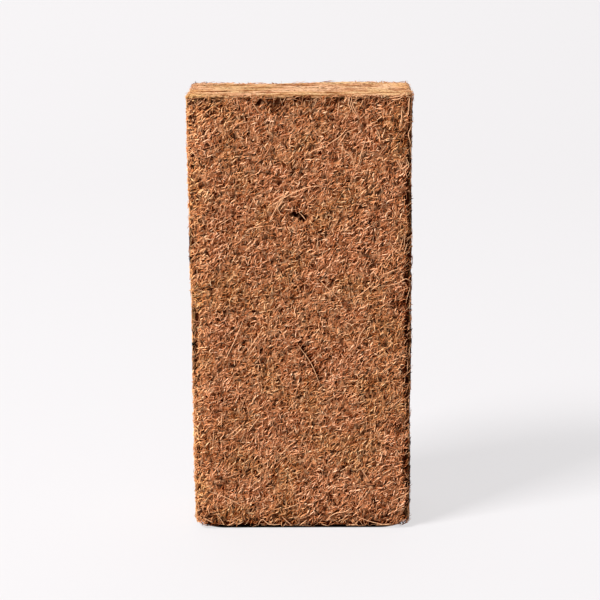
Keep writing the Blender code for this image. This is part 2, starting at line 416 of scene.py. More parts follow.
# Painted shade by depth: the deeper the block lies below the skin, the darker it is painted
hollow_floor = PUNCHED_RECESS + PUNCHED_CLOD_DEPTH + HOLLOW_DEPTH
store(block_mesh, "hollow_and_shade", smooth_step(PUNCHED_RECESS, hollow_floor, block_depths))
block_mesh.materials.append(pressed_pith_material())
for polygon in block_mesh.polygons:
    polygon.use_smooth = True
block_mesh.update()
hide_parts("coir_bale")
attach(block, "root")

# Flecks of husk
# Splinters of husk, chopped and then squeezed into the faces by the press. On the wide faces most lean one
# way, with a painted highlight along their upper edges and dark gaps between, partly painted shade. On the die
# faces they were dragged flat along the layers.

HUSK_PALE = "#FFDCBA"
HUSK_TAN = "#F2B488"
HUSK_BROWN = "#C27848"
HUSK_RED = "#72280A"
HUSK_DARK = "#340600"
HUSK_COLOURS = ((0.0, HUSK_DARK), (0.20, HUSK_RED), (0.45, HUSK_BROWN), (0.72, HUSK_TAN), (1.0, HUSK_PALE))
DRAGGED_COLOURS = ((0.0, "#602E14"), (0.30, "#9C6440"), (0.60, "#C4906A"), (1.0, "#DEB692"))
OLIVE_TINT = "#F4F1DC"
RED_TINT = "#FFFAF6"
HUSK_GOLD = "#FFF6E0"
CREST_PAINTED_LIGHT = 0.72
FLECK_GRAIN = 0.00075
FLECK_FRAYS_PER_METRE = 900.0
SPECK_DEPTH = 0.22
RAW_AND_SHADE_TONE = -0.36
RAW_AND_SHADE_DULLNESS = -0.38
GOLD_PAINTED_LIGHT = 0.22
BARE_SPOT_LENGTH = 0.0050
BARE_FOOT = 0.0034
BRISTLY_ROW_DROP = 0.0025
BRISTLY_ROW_REACH = (0.0030, 0.0010)
LAYER_LENGTH = 0.013
LAYER_THICKNESS = 0.0034
FLECK_ROUGHNESS = 0.85
EDGE_UP = math.atan(math.sqrt(2))
PROUD_AT_MOST = 0.0006

# The way that the chips and bristles of each face lean
GRAIN = {
    "front": (1.0, 0.0, 1.2), "back": (-1.0, 0.0, 1.2), "sides": (0.0, 0.0, 1.0), "top": (1.0, 0.0, 0.0),
    "edges": (1.0, 0.0, 1.0),
}


def new_tree(name, sizes):
    """A Geometry Nodes tree that takes a surface and a named input for each size, and those inputs."""
    tree = bpy.data.node_groups.new(name, "GeometryNodeTree")
    tree.interface.new_socket("Surface", in_out="INPUT", socket_type="NodeSocketGeometry")
    for size, kind in sizes.items():
        tree.interface.new_socket(size, in_out="INPUT", socket_type="NodeSocket" + kind)
    tree.interface.new_socket("Made", in_out="OUTPUT", socket_type="NodeSocketGeometry")
    return tree, tree.nodes.new("NodeGroupInput").outputs


def within_reach(mesh):
    """Presses in whatever sticks out past the bale's own size, and whatever goes below the floor."""
    limits = Vector((PROUD_AT_MOST,) * 3)
    low, high = low_corner - limits, high_corner + limits
    low.z = low_corner.z
    mesh.vertices.foreach_set("co", np.clip(at_points(mesh, "co"), low, high).ravel())
    mesh.update()


def grown(name, tree, face, seed, sizes, cover=None):
    """What a tree grows on one face of the block's skin, as an object of its own with a plain mesh."""
    sizes = {"Cover": cover or face, "Seed": seed, "Grain": GRAIN[face], **sizes}
    piece = new_piece(name, skin_mesh)
    modifier = piece.modifiers.new("grow", "NODES")
    modifier.node_group = tree
    for socket in tree.interface.items_tree:
        if socket.in_out == "INPUT" and socket.name in sizes:
            modifier[socket.identifier] = sizes[socket.name]
    mesh = baked(piece)
    within_reach(mesh)
    piece.modifiers.clear()
    piece.data = mesh
    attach(piece, "root")


def scattered_points(tree, given):
    """Points over the surface, as dense as its cover attribute says, and the way that a thing lies at each:
    Z along the normal, and X along the grain, turned by chance up to the scatter, but few so far."""
    cover = add_node(tree, "GeometryNodeInputNamedAttribute", links={"Name": given["Cover"]})
    density = add_node(tree, "ShaderNodeMath", {"operation": "MULTIPLY"}, {0: cover, 1: given["Density"]})
    points = add_node(tree, "GeometryNodeDistributePointsOnFaces", {"distribute_method": "RANDOM"},
                      {"Mesh": given["Surface"], "Density": density, "Seed": given["Seed"]})
    upright = add_node(tree, "FunctionNodeAlignRotationToVector", {"axis": "Z"},
                       {"Vector": points.outputs["Normal"]})
    along = add_node(tree, "FunctionNodeAlignRotationToVector", {"axis": "X", "pivot_axis": "Z"},
                     {"Rotation": upright, "Vector": given["Grain"]})
    least = add_node(tree, "ShaderNodeVectorMath", {"operation": "SCALE"},
                     {"Vector": given["Scatter"], "Scale": -1.0})
    draw = add_node(tree, "FunctionNodeRandomValue", {"data_type": "FLOAT_VECTOR"},
                    {"Min": least, "Max": (0, 0, 0), "Seed": 11})
    second_draw = add_node(tree, "FunctionNodeRandomValue", {"data_type": "FLOAT_VECTOR"},
                           {"Min": (0, 0, 0), "Max": given["Scatter"], "Seed": 15})
    turn = add_node(tree, "ShaderNodeVectorMath", {"operation": "ADD"}, {0: draw, 1: second_draw})
    turned = add_node(tree, "FunctionNodeEulerToRotation", links={"Euler": turn})
    lying = add_node(tree, "FunctionNodeRotateRotation", {"rotation_space": "LOCAL"},
                     {"Rotation": along, "Rotate By": turned})
    return points, lying


def fleck_tree():
    """Flecks: small splinters strewn over a surface, each stretched, tilted, sunk and roughened by chance.
    Half of its tone is painted shade, darker the lower it lies, and its upper edge is marked as its crest,
    which the material paints paler as a painted highlight."""
    tree, given = new_tree("husk_flecks", {
        "Cover": "String", "Density": "Float", "Seed": "Int", "Grain": "Vector", "Scatter": "Vector",
        "Smallest": "Vector", "Largest": "Vector", "Lowest": "Float", "Highest": "Float",
        "Ragged": "Float", "Material": "Material",
    })
    points, lying = scattered_points(tree, given)
    height = add_node(tree, "FunctionNodeRandomValue",
                      links={"Min": given["Lowest"], "Max": given["Highest"], "Seed": 12})
    sunk_by = add_node(tree, "ShaderNodeVectorMath", {"operation": "SCALE"},
                       {"Vector": points.outputs["Normal"], "Scale": height})
    placed = add_node(tree, "GeometryNodeSetPosition", links={"Geometry": points, "Offset": sunk_by})
    size = add_node(tree, "FunctionNodeRandomValue", {"data_type": "FLOAT_VECTOR"},
                    {"Min": given["Smallest"], "Max": given["Largest"], "Seed": 13})
    wedge = add_node(tree, "GeometryNodeMeshCone", links={
        "Vertices": 3, "Radius Top": 0.0, "Radius Bottom": math.sqrt(1 / 3), "Depth": math.sqrt(2 / 3)})
    splinter = add_node(tree, "GeometryNodeTransform",
                        links={"Geometry": wedge, "Translation": (1 / 6, 0, 0), "Rotation": (0, -EDGE_UP, 0)})
    across = add_node(tree, "ShaderNodeSeparateXYZ", links={0: add_node(tree, "GeometryNodeInputPosition")})
    on_top = add_node(tree, "ShaderNodeMath", {"operation": "GREATER_THAN"}, {0: across.outputs["Z"], 1: 0.0})
    edged = add_node(tree, "GeometryNodeStoreNamedAttribute",
                     links={"Geometry": splinter, "Name": "crest", "Value": on_top})
    strewn = add_node(tree, "GeometryNodeInstanceOnPoints", links={
        "Points": placed, "Instance": edged, "Rotation": lying, "Scale": size})
    chance = add_node(tree, "FunctionNodeRandomValue", links={"Min": 0.0, "Max": 0.5, "Seed": 14})
    # Painted shade: half of the tone comes from how high the fleck lies, darker the lower it lies
    raised = add_node(tree, "ShaderNodeMapRange", links={
        "Value": height, "From Min": given["Lowest"], "From Max": given["Highest"], "To Max": 0.5})
    tone = add_node(tree, "ShaderNodeMath", {"operation": "ADD"}, {0: chance, 1: raised})
    toned = add_node(tree, "GeometryNodeStoreNamedAttribute", {"domain": "INSTANCE"},
                     {"Geometry": strewn, "Name": "tone", "Value": tone})
    real = add_node(tree, "GeometryNodeRealizeInstances", links={"Geometry": toned})
    lumps = add_node(tree, "ShaderNodeTexNoise", links={"Scale": FLECK_FRAYS_PER_METRE, "Detail": 1.0})
    centred = add_node(tree, "ShaderNodeVectorMath", {"operation": "SUBTRACT"},
                       {0: lumps.outputs["Color"], 1: (0.5, 0.5, 0.5)})
    shift = add_node(tree, "ShaderNodeVectorMath", {"operation": "SCALE"},
                     {"Vector": centred, "Scale": given["Ragged"]})
    ragged = add_node(tree, "GeometryNodeSetPosition", links={"Geometry": real, "Offset": shift})
    flat = add_node(tree, "GeometryNodeSetShadeSmooth", links={"Geometry": ragged, "Shade Smooth": False})
    finished = add_node(tree, "GeometryNodeSetMaterial",
                        links={"Geometry": flat, "Material": given["Material"]})
    add_node(tree, "NodeGroupOutput", links={"Made": finished})
    return tree


def husk_material(name, colours, spread, darkest, layered):
    """Chopped husk: dull tan to red-brown splinters, with a painted highlight along each crest. Each has its
    own tone, part of it painted shade, and the tones drift in patches of red and olive. It is golden along two
    rims, with painted light most down the left, and dark where raw pith shows and where shade is painted on.
    On the die faces its tone also changes from layer to layer, drawn a little thicker than the layers are."""
    material, tree, shader = new_material(name)
    where = add_node(tree, "ShaderNodeTexCoord").outputs["Object"]
    tone, crest, gold_and_light, raw_and_shade = [
        add_node(tree, "ShaderNodeAttribute", {"attribute_name": kept}).outputs["Fac"]
        for kept in ("tone", "crest", "gold_and_light", "raw_and_shade")
    ]
    patches, grain = [
        add_node(tree, "ShaderNodeTexNoise", links={"Vector": where, "Scale": 1 / length, "Detail": 3.0})
        for length in (PATCH_SIZE, FLECK_GRAIN)
    ]
    body = add_node(tree, "ShaderNodeMath", {"operation": "MULTIPLY_ADD"}, {0: tone, 1: spread, 2: darkest})
    # Painted highlight: the crest of each splinter is paler than its sides
    edged = add_node(tree, "ShaderNodeMath", {"operation": "MULTIPLY_ADD"},
                     {0: crest, 1: CREST_PAINTED_LIGHT * spread, 2: body})
    speck = add_node(tree, "ShaderNodeMapRange", links={
        "Value": grain, "From Min": 0.40, "From Max": 0.60, "To Min": -SPECK_DEPTH * spread, "To Max": 0.0})
    specked = add_node(tree, "ShaderNodeMath", {"operation": "ADD"}, {0: edged, 1: speck})
    # Darker where raw pith shows and where shade is painted on
    shade = add_node(tree, "ShaderNodeMath", {"operation": "MULTIPLY_ADD"}, {0: raw_and_shade, 1: RAW_AND_SHADE_TONE, 2: specked})
    # Painted light: paler where the golden share is, most down the left rim
    lit = add_node(tree, "ShaderNodeMath", {"operation": "MULTIPLY_ADD"}, {0: gold_and_light, 1: GOLD_PAINTED_LIGHT, 2: shade})
    layers_at = add_node(tree, "ShaderNodeMapping", links={
        "Vector": where, "Scale": (1 / LAYER_LENGTH, 1 / LAYER_THICKNESS, 1 / LAYER_LENGTH)})
    layers = add_node(tree, "ShaderNodeTexNoise", links={"Vector": layers_at, "Scale": 1.0, "Detail": 3.0})
    banded = add_node(tree, "ShaderNodeMapRange", links={
        "Value": layers, "From Min": 0.35, "From Max": 0.65, "To Min": -layered, "To Max": layered})
    placed = add_node(tree, "ShaderNodeMath", {"operation": "ADD"}, {0: lit, 1: banded})
    own = add_node(tree, "ShaderNodeValToRGB", links={"Fac": placed})
    set_colours(own, colours)
    tint = add_node(tree, "ShaderNodeValToRGB", links={"Fac": patches})
    set_colours(tint, ((0.42, OLIVE_TINT), (0.56, RED_TINT)))
    drifted = add_node(tree, "ShaderNodeMix", {"data_type": "RGBA", "blend_type": "MULTIPLY"},
                       {"Factor": 1.0, "A": own, "B": tint})
    gilded = add_node(tree, "ShaderNodeMix", {"data_type": "RGBA", "blend_type": "MULTIPLY"},
                      {"Factor": gold_and_light, "A": drifted.outputs[2], "B": linear(HUSK_GOLD)})
    left = add_node(tree, "ShaderNodeMath", {"operation": "MULTIPLY_ADD", "use_clamp": True},
                    {0: raw_and_shade, 1: RAW_AND_SHADE_DULLNESS, 2: 1.0})
    dulled = add_node(tree, "ShaderNodeMix", {"data_type": "RGBA", "blend_type": "MULTIPLY"},
                      {"Factor": 1.0, "A": gilded.outputs[2], "B": left})
    bump = add_node(tree, "ShaderNodeBump", links={"Strength": 0.8, "Distance": 0.0004, "Height": grain})
    tree.links.new(dulled.outputs[2], shader.inputs["Base Color"])
    tree.links.new(bump.outputs[0], shader.inputs["Normal"])
    shader.inputs["Roughness"].default_value = FLECK_ROUGHNESS
    shader.inputs["Specular IOR Level"].default_value = 0.03
    return material


skin_points = at_points(skin_mesh, "co")
skin_punched = punched_share(skin_points)
skin_raw_and_shade = raw_and_shade_share(skin_points)
skin_whole = 1 - 0.3 * np.minimum(1, skin_raw_and_shade) - 0.5 * np.clip(skin_raw_and_shade - 1, 0, 1)
skin_whole *= 1 - 0.9 * rim_gaps(skin_points)
skin_unpitted = smooth_step(0.0012, 0.0002, pit_depth(skin_points))
skin_whole *= skin_unpitted
skin_patchy = 0.45 + 0.55 * smooth_step(-0.20, 0.20, noise_at(skin_points, BARE_SPOT_LENGTH, (9, 4, 1)))
from_top_row = np.abs(HEIGHT - BRISTLY_ROW_DROP - skin_points[:, 2])
skin_bristly = skin_unpitted * (1 + 2.0 * smooth_step(*BRISTLY_ROW_REACH, from_top_row))
skin_bristly *= 0.15 + 0.85 * smooth_step(FOOT_FLAT, BARE_FOOT, skin_points[:, 2])
on_end = np.minimum(skin_points[:, 2], HEIGHT - skin_points[:, 2]) < HALF_WIDTH - np.abs(skin_points[:, 0])
store(skin_mesh, "gold_and_light", gold_and_light_share(skin_points))
store(skin_mesh, "raw_and_shade", skin_raw_and_shade)
for face, on_face in (("front", skin_points[:, 1] < 0), ("back", skin_points[:, 1] > 0)):
    store(skin_mesh, face, skin_punched * skin_whole * skin_patchy * on_face)
    store(skin_mesh, face + "_bristly", skin_punched * skin_bristly * on_face)
store(skin_mesh, "sides", (1 - skin_punched) * ~on_end)
store(skin_mesh, "top", (1 - skin_punched) * on_end * (skin_points[:, 2] > HEIGHT / 2))

flecks = fleck_tree()
wide_flecks = {
    "Density": 1350000.0, "Scatter": (0.60, 0.36, 1.65),
    "Smallest": (0.0012, 0.00032, 0.0004), "Largest": (0.0034, 0.00075, 0.0010),
    "Lowest": -0.00075, "Highest": -0.00005, "Ragged": 0.00008,
    "Material": husk_material("chopped_husk", HUSK_COLOURS, 0.9, -0.35, 0.0),
}
grown("husk_flecks_front", flecks, "front", 1, wide_flecks)
grown("husk_flecks_back", flecks, "back", 2, wide_flecks)
dragged_flecks = {
    "Density": 1150000.0, "Scatter": (0.08, 0.03, 0.28),
    "Smallest": (0.0010, 0.00030, 0.00016), "Largest": (0.0038, 0.00080, 0.00034),
    "Lowest": -0.00056, "Highest": -0.00034, "Ragged": 0.0002,
    "Material": husk_material("dragged_husk", DRAGGED_COLOURS, 0.60, 0.13, 0.50),
}
grown("husk_flecks_sides", flecks, "sides", 3, dragged_flecks)
grown("husk_flecks_top", flecks, "top", 4, dragged_flecks)

# Short bristles
# Coir fibres, one and a half to ten millimetres long, pressed in among the flecks. Each is a stiff, blond to
# brown hair with a slight gloss. The pith around it holds it, with an end standing free here and there.

BRISTLE_BLOND = "#FFC696"
BRISTLE_TAN = "#E8A070"
BRISTLE_BROWN = "#8C4626"
BRISTLE_ROUGHNESS = 0.65
BRISTLE_GLOSS = 0.06
BRISTLE_MOTTLES_PER_METRE = 700.0


def bristle_tree():
    """Bristles: thin tapered hairs strewn over a surface, bent by chance and laid along its shape."""
    tree, given = new_tree("coir_bristles", {
        "Cover": "String", "Density": "Float", "Seed": "Int", "Grain": "Vector", "Scatter": "Vector",
        "Shortest": "Float", "Longest": "Float", "Thinnest": "Float", "Thickest": "Float", "Points": "Int",
        "Curl": "Float", "Curl Length": "Float", "Lowest": "Float", "Highest": "Float", "Held": "Float",
        "Material": "Material",
    })
    points, lying = scattered_points(tree, given)
    line = add_node(tree, "GeometryNodeCurvePrimitiveLine", links={"Start": (-0.5, 0, 0), "End": (0.5, 0, 0)})
    jointed = add_node(tree, "GeometryNodeResampleCurve", links={"Curve": line, "Count": given["Points"]})
    length = add_node(tree, "FunctionNodeRandomValue",
                      links={"Min": given["Shortest"], "Max": given["Longest"], "Seed": 21})
    stretch = add_node(tree, "ShaderNodeCombineXYZ", links={"X": length, "Y": 1.0, "Z": 1.0})
    strewn = add_node(tree, "GeometryNodeInstanceOnPoints", links={
        "Points": points, "Instance": jointed, "Rotation": lying, "Scale": stretch})
    own = strewn
    for name, low, high, seed in (
        ("tone", 0.0, 1.0, 22), ("girth", given["Thinnest"], given["Thickest"], 23), ("rise", 0.0, 1.0, 24),
    ):
        chance = add_node(tree, "FunctionNodeRandomValue", links={"Min": low, "Max": high, "Seed": seed})
        own = add_node(tree, "GeometryNodeStoreNamedAttribute", {"domain": "INSTANCE"},
                       {"Geometry": own, "Name": name, "Value": chance})
    real = add_node(tree, "GeometryNodeRealizeInstances", links={"Geometry": own})
    kept = {name: add_node(tree, "GeometryNodeInputNamedAttribute", links={"Name": name})
            for name in ("tone", "girth", "rise")}
    own_noise = add_node(tree, "ShaderNodeMath", {"operation": "MULTIPLY"}, {0: kept["tone"], 1: 61.0})
    curl_scale = add_node(tree, "ShaderNodeMath", {"operation": "DIVIDE"}, {0: 1.0, 1: given["Curl Length"]})
    wander = add_node(tree, "ShaderNodeTexNoise", {"noise_dimensions": "4D"},
                      {"W": own_noise, "Scale": curl_scale, "Detail": 1.0})
    centred = add_node(tree, "ShaderNodeVectorMath", {"operation": "SUBTRACT"},
                       {0: wander.outputs["Color"], 1: (0.5, 0.5, 0.5)})
    bend = add_node(tree, "ShaderNodeVectorMath", {"operation": "SCALE"},
                    {"Vector": centred, "Scale": given["Curl"]})
    bent = add_node(tree, "GeometryNodeSetPosition", links={"Geometry": real, "Offset": bend})

    place = add_node(tree, "GeometryNodeInputPosition")
    nearest = add_node(tree, "GeometryNodeProximity", {"target_element": "FACES"},
                       {"Geometry": given["Surface"], "Sample Position": place})
    normal = add_node(tree, "GeometryNodeInputNormal")
    facing = add_node(tree, "GeometryNodeSampleNearestSurface", {"data_type": "FLOAT_VECTOR"},
                      {"Mesh": given["Surface"], "Value": normal, "Sample Position": place})
    along = add_node(tree, "GeometryNodeSplineParameter").outputs["Factor"]
    from_middle = add_node(tree, "ShaderNodeMath", {"operation": "MULTIPLY_ADD"}, {0: along, 1: 2.0, 2: -1.0})
    squared = add_node(tree, "ShaderNodeMath", {"operation": "POWER"}, {
        0: add_node(tree, "ShaderNodeMath", {"operation": "ABSOLUTE"}, {0: from_middle}), 1: 2.0})
    arch = add_node(tree, "ShaderNodeMath", {"operation": "SUBTRACT"}, {0: 1.0, 1: squared})
    risen = add_node(tree, "ShaderNodeMath", {"operation": "MULTIPLY"}, {0: arch, 1: kept["rise"]})
    lift = add_node(tree, "ShaderNodeMapRange", links={
        "Value": risen, "To Min": given["Lowest"], "To Max": given["Highest"]})
    raised = add_node(tree, "ShaderNodeVectorMath", {"operation": "SCALE"}, {"Vector": facing, "Scale": lift})
    on_skin = add_node(tree, "ShaderNodeVectorMath", {"operation": "ADD"}, {0: nearest, 1: raised})
    held = add_node(tree, "ShaderNodeMix", {"data_type": "VECTOR"},
                    {"Factor": given["Held"], "A": place, "B": on_skin})
    laid = add_node(tree, "GeometryNodeSetPosition", links={"Geometry": bent, "Position": held})

    taper = add_node(tree, "ShaderNodeMapRange", links={"Value": squared, "To Min": 1.0, "To Max": 0.35})
    radius = add_node(tree, "ShaderNodeMath", {"operation": "MULTIPLY"}, {0: taper, 1: kept["girth"]})
    profile = add_node(tree, "GeometryNodeCurvePrimitiveCircle", links={"Resolution": 3, "Radius": 1.0})
    tube = add_node(tree, "GeometryNodeCurveToMesh", links={
        "Curve": laid, "Profile Curve": profile, "Scale": radius, "Fill Caps": True})
    smooth = add_node(tree, "GeometryNodeSetShadeSmooth", links={"Geometry": tube, "Shade Smooth": True})
    finished = add_node(tree, "GeometryNodeSetMaterial",
                        links={"Geometry": smooth, "Material": given["Material"]})
    add_node(tree, "NodeGroupOutput", links={"Made": finished})
    return tree


def bristle_material():
    """Dry coir bristle: a smooth, hard fibre, blond to brown and mottled, with a slight gloss."""
    material, tree, shader = new_material("dry_coir_bristle")
    tone = add_node(tree, "ShaderNodeAttribute", {"attribute_name": "tone"}).outputs["Fac"]
    where = add_node(tree, "ShaderNodeTexCoord").outputs["Object"]
    mottle = add_node(tree, "ShaderNodeTexNoise",
                      links={"Vector": where, "Scale": BRISTLE_MOTTLES_PER_METRE, "Detail": 2.0})
    own = add_node(tree, "ShaderNodeValToRGB", links={"Fac": tone})
    set_colours(own, ((0.0, BRISTLE_BROWN), (0.5, BRISTLE_TAN), (1.0, BRISTLE_BLOND)))
    mottled = add_node(tree, "ShaderNodeMix", {"data_type": "RGBA", "blend_type": "MULTIPLY"},
                       {"Factor": 0.3, "A": own, "B": mottle})
    tree.links.new(mottled.outputs[2], shader.inputs["Base Color"])
    shader.inputs["Roughness"].default_value = BRISTLE_ROUGHNESS
    shader.inputs["Specular IOR Level"].default_value = BRISTLE_GLOSS
    return material


bristles = bristle_tree()
bristle_finish = bristle_material()
felted = {
    "Density": 105000.0, "Scatter": (0.0, 0.0, 1.70),
    "Shortest": 0.0014, "Longest": 0.0042, "Thinnest": 0.00010, "Thickest": 0.00020, "Points": 4,
    "Curl": 0.0005, "Curl Length": 0.007, "Lowest": -0.0004, "Highest": 0.00020, "Held": 0.97,
    "Material": bristle_finish,
}
grown("bristles_front", bristles, "front", 5, felted, "front_bristly")
grown("bristles_back", bristles, "back", 6, felted, "back_bristly")
layered = {
    "Density": 50000.0, "Scatter": (0.0, 0.0, 0.5),
    "Shortest": 0.003, "Longest": 0.010, "Thinnest": 0.00006, "Thickest": 0.00013, "Points": 6,
    "Curl": 0.0012, "Curl Length": 0.008, "Lowest": -0.00050, "Highest": -0.00020, "Held": 1.0,
    "Material": bristle_finish,
}
grown("bristles_sides", bristles, "sides", 7, layered)
grown("bristles_top", bristles, "top", 8, layered)

# Long and loose bristles
# The few coir fibres that the chopper left long. Most lie flat where the press laid them, some in tufts at
# the rims. Along the edges some have sprung loose at one end.

SPRUNG_NEAR_EDGE = (0.0045, 0.0020)

from_edges = np.sort(np.stack([
    HALF_WIDTH - np.abs(skin_points[:, 0]),
    HALF_DEPTH - np.abs(skin_points[:, 1]),
    np.minimum(skin_points[:, 2], HEIGHT - skin_points[:, 2]),
], axis=1), axis=1)[:, 1]
store(skin_mesh, "edges", smooth_step(*SPRUNG_NEAR_EDGE, from_edges))
long_and_flat = {
    "Density": 16000.0, "Scatter": (0.0, 0.0, 1.10),
    "Shortest": 0.003, "Longest": 0.009, "Thinnest": 0.00011, "Thickest": 0.00019, "Points": 6,
    "Curl": 0.0009, "Curl Length": 0.012, "Lowest": 0.0, "Highest": 0.0004, "Held": 1.0,
    "Material": bristle_finish,
}
grown("long_bristles_front", bristles, "front", 31, long_and_flat)
grown("long_bristles_back", bristles, "back", 32, long_and_flat)
sprung = {
    "Density": 130000.0, "Scatter": (0.0, 0.35, 1.57),
    "Shortest": 0.002, "Longest": 0.007, "Thinnest": 0.00005, "Thickest": 0.00013, "Points": 5,
    "Curl": 0.0016, "Curl Length": 0.006, "Lowest": -0.0002, "Highest": 0.0003, "Held": 0.35,
    "Material": bristle_finish,
}
grown("loose_bristles", bristles, "edges", 33, sprung)

# The fibres that stand out on the front, each a few places along it, x and z in millimetres
STRANDS_MM = {
    "long, straight": ((-25.7, 99.1), (-30.0, 89.0), (-34.6, 79.4)),
    "long, bowed": ((-1.4, 87.7), (4.4, 79.0), (8.5, 68.8)),
    "arc beside the hole": ((-13.4, 150.5), (-7.0, 154.5), (1.0, 158.3), (8.9, 160.3)),
    "low, slanting": ((-42.6, 18.5), (-34.0, 15.0), (-26.5, 10.7)),
    "over the top right corner": ((39.0, 198.2), (42.1, 198.7), (44.3, 199.1), (46.6, 200.0)),
    "under it": ((40.0, 197.3), (42.4, 197.5), (45.1, 198.8)),
    "down the right edge": ((46.0, 199.2), (47.6, 198.4), (47.8, 196.6), (47.5, 191.9), (46.8, 189.5)),
    "beside that": ((44.4, 193.3), (44.4, 189.2), (43.6, 185.8)),
    "looped at the right edge": ((49.1, 186.1), (47.7, 183.0), (47.9, 180.3), (49.3, 176.2)),
    "tuft, long": ((21.6, 198.6), (22.2, 196.1), (23.2, 193.0), (26.2, 188.9)),
    "tuft, left": ((21.0, 198.8), (19.1, 196.0)),
    "tuft, middle": ((21.9, 198.6), (21.3, 196.4), (22.4, 192.8)),
    "tuft, right": ((22.6, 198.6), (23.2, 195.2), (25.4, 190.7)),
    "slanting below the tuft": ((20.5, 190.7), (18.2, 187.6)),
    "straight, upper right": ((34.0, 188.2), (31.3, 187.0), (28.6, 184.5)),
    "curved, upper right": ((33.0, 185.8), (34.7, 182.4), (35.2, 179.0)),
    "paired, first": ((20.5, 184.6), (17.1, 181.1), (12.3, 177.8)),
    "paired, second": ((20.1, 182.5), (16.8, 177.4)),
    "hooked": ((17.1, 177.1), (19.8, 175.3), (22.5, 172.9), (23.5, 170.5), (23.5, 167.4)),
    "long, wavy": ((28.9, 181.1), (27.9, 177.0), (26.9, 174.0), (25.9, 169.5), (23.9, 166.8)),
    "arched": ((4.5, 174.1), (6.3, 175.4), (9.6, 176.6), (12.0, 177.4)),
    "checked, right": ((42.2, 171.1), (43.5, 168.7), (44.9, 167.0), (47.6, 169.1)),
    "slanting, upper left": ((-20.7, 196.8), (-19.2, 194.6), (-17.6, 192.2)),
    "golden, upper left": ((-42.1, 197.4), (-44.9, 195.1)),
    "short, left": ((-35.7, 186.2), (-38.3, 182.8)),
    "kinked, right": ((38.2, 114.6), (43.0, 115.6), (46.6, 117.6), (49.0, 116.4)),
    "blond, right": ((24.6, 109.2), (28.8, 112.4), (32.4, 115.6)),
    "blond, lower right": ((37.0, 26.6), (40.6, 28.8)),
    "low, bowed": ((10.6, 3.6), (14.6, 7.4), (20.0, 8.6), (22.6, 10.6)),
    "low, along the foot": ((25.0, 6.2), (32.0, 3.4), (39.0, 1.6)),
    "right rim, upper": ((46.7, 171.7), (47.8, 168.4), (46.4, 166.1), (47.2, 162.8)),
    "right rim, beside": ((43.1, 171.3), (44.5, 168.4), (45.8, 164.6)),
    "right rim, bent": ((40.2, 133.8), (41.5, 131.0), (44.2, 128.7)),
    "right rim, leaning": ((45.8, 128.7), (47.4, 133.7)),
    "right rim, long": ((36.2, 119.5), (43.4, 122.3)),
    "right, low slant": ((31.3, 112.6), (35.3, 115.4)),
    "right rim, corner": ((47.4, 197.1), (47.5, 194.0), (47.0, 190.9)),
    "right rim, thin": ((44.3, 194.0), (44.6, 189.6), (44.1, 185.1)),
    "upper right, down": ((33.3, 183.4), (35.1, 179.8)),
    "upper right, up": ((36.0, 180.7), (37.3, 184.7)),
    "middle, thin": ((8.3, 117.4), (12.8, 112.7), (17.7, 108.1)),
    "right, short": ((32.2, 120.9), (35.3, 117.2)),
    "right, stub": ((40.7, 127.8), (41.1, 131.0)),
    "centre, bright bend": ((24.5, 85.6), (26.3, 91.7), (28.6, 95.4)),
    "left, slanting": ((-24.8, 130.4), (-22.1, 132.7), (-20.3, 134.5), (-19.6, 135.7)),
    "left pair, first": ((-24.6, 83.9), (-20.9, 89.1), (-17.6, 94.2)),
    "left pair, second": ((-23.2, 83.0), (-20.0, 87.7)),
    "middle, stub": ((-2.5, 122.0), (-1.6, 117.0)),
    "low left, first": ((-32.9, 45.4), (-26.9, 50.2)),
    "low left, second": ((-32.0, 44.0), (-26.9, 48.3)),
    "low left, third": ((-24.2, 46.9), (-19.0, 54.0)),
    "low middle": ((-10.2, 35.4), (-5.5, 40.2)),
    "low right, stub": ((32.4, 22.5), (36.1, 25.4)),
    "low right, down": ((26.8, 29.3), (30.5, 23.5)),
    "low right, thick": ((37.9, 20.5), (41.9, 23.1)),
    "low right, wavy": ((41.2, 13.4), (44.4, 15.1), (48.6, 16.9)),
    "left rim, slanting": ((-48.2, 176.3), (-46.4, 174.5), (-44.7, 171.8)),
    "upper left, up": ((-38.1, 183.4), (-35.6, 186.0)),
    "tuft by the hole, long": ((-5.5, 156.3), (-8.9, 153.6), (-10.3, 150.4), (-12.8, 145.4), (-13.5, 143.6)),
    "tuft by the hole, upper": ((-6.2, 155.8), (-9.8, 154.7), (-12.0, 153.1)),
    "tuft by the hole, middle": ((-6.2, 155.6), (-8.0, 153.1), (-9.4, 151.3)),
    "tuft by the hole, right": ((-4.9, 154.9), (-2.2, 154.9), (-0.4, 155.8)),
    "tuft by the hole, low": ((-10.3, 150.0), (-8.5, 147.2), (-7.2, 146.8)),
    "tuft by the hole, high": ((-12.0, 155.4), (-10.2, 157.2), (-8.9, 158.3)),
    "tuft by the hole, inner": ((-7.1, 154.5), (-8.5, 151.8), (-10.7, 149.1)),
    "below that tuft": ((-24.3, 138.6), (-22.0, 140.7), (-18.4, 141.4), (-16.2, 141.8)),
    "over the hole": ((-0.6, 147.6), (0.8, 146.2), (2.4, 144.4)),
    "foot, first": ((-45.2, 5.6), (-41.0, 3.2)),
    "foot, second": ((-39.5, 8.1), (-35.7, 2.4)),
    "foot, third": ((-34.5, 1.7), (-30.8, 3.6)),
    "foot, fourth": ((-20.6, 1.6), (-18.4, 4.6), (-15.1, 2.4), (-9.9, 2.2)),
    "foot, fifth": ((-9.1, 6.0), (-4.5, 1.6)),
    "foot, sixth": ((-1.0, 2.0), (2.2, 4.5)),
    "foot, seventh": ((8.7, 2.5), (12.4, 0.8)),
    "foot, eighth": ((19.9, 1.5), (25.4, 2.4)),
    "foot, ninth": ((33.8, 1.4), (40.8, 2.4)),
}
STRAND_RADIUS = 0.00017
STRAND_STEPS = 6
STRAND_PROUD = 0.00034
STANDS_FURTHER_OUT = {"long, bowed": 0.00085, "arc beside the hole": 0.00055, "hooked": 0.00020}


